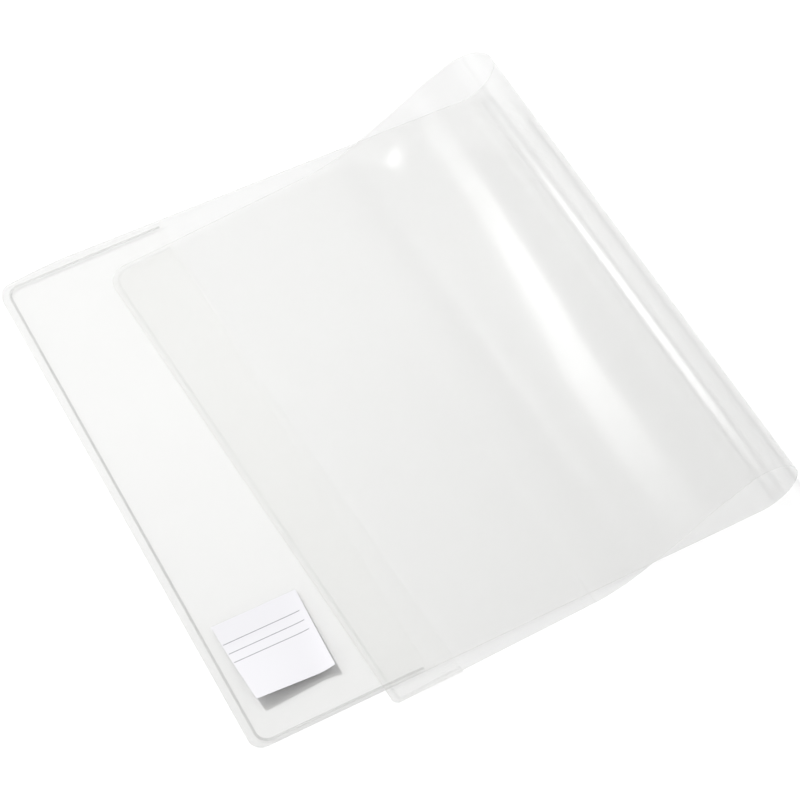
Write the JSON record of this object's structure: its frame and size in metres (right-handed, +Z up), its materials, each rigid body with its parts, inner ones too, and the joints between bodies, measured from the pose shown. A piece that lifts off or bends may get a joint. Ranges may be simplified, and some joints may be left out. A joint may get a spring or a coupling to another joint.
{
  "type": "book cover",
  "caption": "Clear film book jacket folded over at a soft spine loop, with a welded board pocket on each leaf and a paper name label.",
  "frame": {"origin": "on the table, under the middle of the folded cover's box", "axes": "+X from the fore edges towards the spine loop, +Y from tail to head, +Z up, off the table"},
  "size_m": [0.2886, 0.3008, 0.0398],
  "materials": {
    "film": "clear, smooth and glossy",
    "welded_film": "two layers of clear film fused in a line",
    "label_paper": "smooth white label paper, printed with three rules",
    "label_adhesive": "clear contact adhesive"
  },
  "bodies": {
    "back_leaf": {"back_panel": "film", "back_pocket_flap": "film", "back_pocket_side_weld": "welded_film", "back_pocket_tail_weld": "welded_film", "back_pocket_head_weld": "welded_film", "label_adhesive": "label_adhesive", "name_label": "label_paper"},
    "spine_1": {"spine_strip_1": "film"},
    "spine_2": {"spine_strip_2": "film"},
    "spine_3": {"spine_strip_3": "film"},
    "spine_4": {"spine_strip_4": "film"},
    "spine_5": {"spine_strip_5": "film"},
    "spine_6": {"spine_strip_6": "film"},
    "spine_7": {"spine_strip_7": "film"},
    "front_slope": {"front_slope_strip": "film"},
    "front_foot_1": {"front_foot_strip_1": "film"},
    "front_leaf": {"front_panel": "film", "front_pocket_flap": "film", "front_pocket_side_weld": "welded_film", "front_pocket_tail_weld": "welded_film", "front_pocket_head_weld": "welded_film"}
  },
  "joints": [
    {"name": "spine_bend_1", "type": "hinge", "parent": "back_leaf", "child": "spine_1", "pos_m": [0.12895, -0.13184, 0.00007], "axis": [-0.0279, 0.9996, 0], "range_deg": [0, 26]},
    {"name": "spine_bend_2", "type": "hinge", "parent": "spine_1", "child": "spine_2", "pos_m": [0.13683, -0.13162, 0.00392], "axis": [-0.0279, 0.9996, 0], "range_deg": [0, 26]},
    {"name": "spine_bend_3", "type": "hinge", "parent": "spine_2", "child": "spine_3", "pos_m": [0.14223, -0.13147, 0.01083], "axis": [-0.0279, 0.9996, 0], "range_deg": [0, 26]},
    {"name": "spine_bend_4", "type": "hinge", "parent": "spine_3", "child": "spine_4", "pos_m": [0.14405, -0.13142, 0.01942], "axis": [-0.0279, 0.9996, 0], "range_deg": [0, 26]},
    {"name": "spine_bend_5", "type": "hinge", "parent": "spine_4", "child": "spine_5", "pos_m": [0.14182, -0.13148, 0.02838], "axis": [-0.0279, 0.9996, 0], "range_deg": [0, 26]},
    {"name": "spine_bend_6", "type": "hinge", "parent": "spine_5", "child": "spine_6", "pos_m": [0.13559, -0.13165, 0.0358], "axis": [-0.0279, 0.9996, 0], "range_deg": [0, 26]},
    {"name": "spine_bend_7", "type": "hinge", "parent": "spine_6", "child": "spine_7", "pos_m": [0.12674, -0.1319, 0.03975], "axis": [-0.0279, 0.9996, 0], "range_deg": [0, 26]},
    {"name": "spine_bend_8", "type": "hinge", "parent": "spine_7", "child": "front_slope", "pos_m": [0.11705, -0.13217, 0.03941], "axis": [-0.0279, 0.9996, 0], "range_deg": [0, 26]},
    {"name": "foot_bend_1", "type": "hinge", "parent": "front_slope", "child": "front_foot_1", "pos_m": [0.05234, -0.13398, 0.00499], "axis": [-0.0279, 0.9996, 0], "range_deg": [-14, 0]},
    {"name": "foot_bend_2", "type": "hinge", "parent": "front_foot_1", "child": "front_leaf", "pos_m": [0.03805, -0.13438, 0.00143], "axis": [-0.0279, 0.9996, 0], "range_deg": [-14, 0]}
  ],
  "couplings": [
    {"joint": "spine_bend_2", "follows": "spine_bend_1", "ratio": 1},
    {"joint": "spine_bend_3", "follows": "spine_bend_1", "ratio": 1},
    {"joint": "spine_bend_4", "follows": "spine_bend_1", "ratio": 1},
    {"joint": "spine_bend_5", "follows": "spine_bend_1", "ratio": 1},
    {"joint": "spine_bend_6", "follows": "spine_bend_1", "ratio": 1},
    {"joint": "spine_bend_7", "follows": "spine_bend_1", "ratio": 1},
    {"joint": "spine_bend_8", "follows": "spine_bend_1", "ratio": 1},
    {"joint": "foot_bend_1", "follows": "spine_bend_1", "ratio": -0.53846},
    {"joint": "foot_bend_2", "follows": "spine_bend_1", "ratio": -0.53846}
  ]
}
